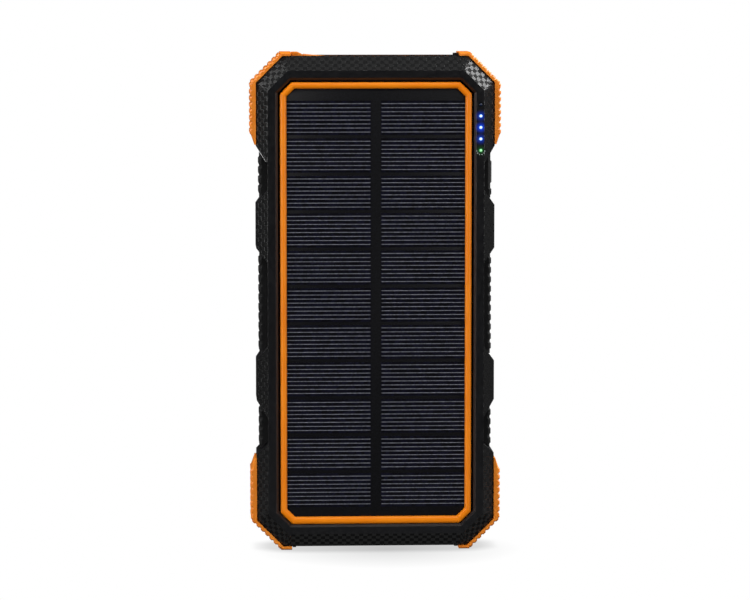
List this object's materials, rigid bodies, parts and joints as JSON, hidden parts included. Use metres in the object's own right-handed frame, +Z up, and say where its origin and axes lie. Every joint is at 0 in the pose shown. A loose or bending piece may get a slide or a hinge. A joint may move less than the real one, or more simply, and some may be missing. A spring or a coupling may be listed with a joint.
{
  "type": "solar phone charger",
  "caption": "Rugged solar power bank: black cut-corner case, framed solar panel on the front, orange serrated rubber corners, ribbed side grips, flap over end sockets.",
  "frame": {"origin": "centre of the bounding box's base, under the lower rubber corners", "axes": "+Z up the long side, -Y out of the solar face, +X to the right seen from the front"},
  "size_m": [0.0852, 0.025, 0.17],
  "materials": {
    "shell": "moulded ABS and polycarbonate, semi-gloss black with a weave-textured chamfer",
    "seal": "silicone gasket",
    "panel": "dark blue-black laminate with fine grey cell lines",
    "tape": "closed-cell foam",
    "orange_trim": "satin orange moulded bead",
    "orange_rubber": "satin orange thermoplastic rubber",
    "black_rubber": "matt black thermoplastic rubber",
    "button": "satin black moulded button",
    "switch": "moulded switch body",
    "socket": "nickel-plated pressed steel",
    "board": "green solder mask on glass epoxy",
    "component": "ferrite and black epoxy",
    "lamp_board": "white solder mask",
    "cell": "aluminium-laminate pouch",
    "red_wire": "red silicone insulation",
    "black_wire": "black silicone insulation",
    "screw": "zinc-plated steel",
    "lamp": "lamp epoxy",
    "lamp_green": "clear light pipe, lit green",
    "lamp_blue": "clear light pipe, lit blue",
    "lamp_off": "clear light pipe, unlit"
  },
  "bodies": {
    "housing": {"front_cover": "shell", "rear_cover": "shell", "cover_seal": "seal", "solar_panel": "panel", "panel_tape": "tape", "trim_ring": "orange_trim", "bumper_top_left": "orange_rubber", "bumper_top_right": "orange_rubber", "bumper_bottom_left": "orange_rubber", "bumper_bottom_right": "orange_rubber", "grip_left": "black_rubber", "grip_right": "black_rubber", "tact_switch": "switch", "port_cover_anchor": "orange_rubber", "usb_a_left": "socket", "usb_a_right": "socket", "usb_c": "socket", "main_board": "board", "power_inductor": "component", "control_chip": "component", "led_board": "lamp_board", "cell_front": "cell", "cell_rear": "cell", "cell_pad": "tape", "cell_lead_red": "red_wire", "cell_lead_black": "black_wire", "panel_lead_red": "red_wire", "panel_lead_black": "black_wire", "screw_1": "screw", "screw_2": "screw", "screw_3": "screw", "screw_4": "screw", "status_led_1": "lamp", "status_led_2": "lamp", "status_led_3": "lamp", "status_led_4": "lamp", "status_led_5": "lamp", "light_pipe_1": "lamp_green", "light_pipe_2": "lamp_blue", "light_pipe_3": "lamp_blue", "light_pipe_4": "lamp_blue", "light_pipe_5": "lamp_off"},
    "button": {"power_button": "button", "switch_plunger": "switch"},
    "port_flap": {"port_cover": "orange_rubber"}
  },
  "joints": [
    {"name": "button_press", "type": "slide", "parent": "housing", "child": "button", "axis": [-1, 0, 0], "range_m": [0, 0.0006], "stiffness_N_per_m": 2500},
    {"name": "port_cover_hinge", "type": "hinge", "parent": "housing", "child": "port_flap", "pos_m": [-0.02445, 0, 0.1692], "axis": [0, -1, 0], "range_deg": [0, 150], "stiffness_Nm_per_rad": 0.002}
  ]
}
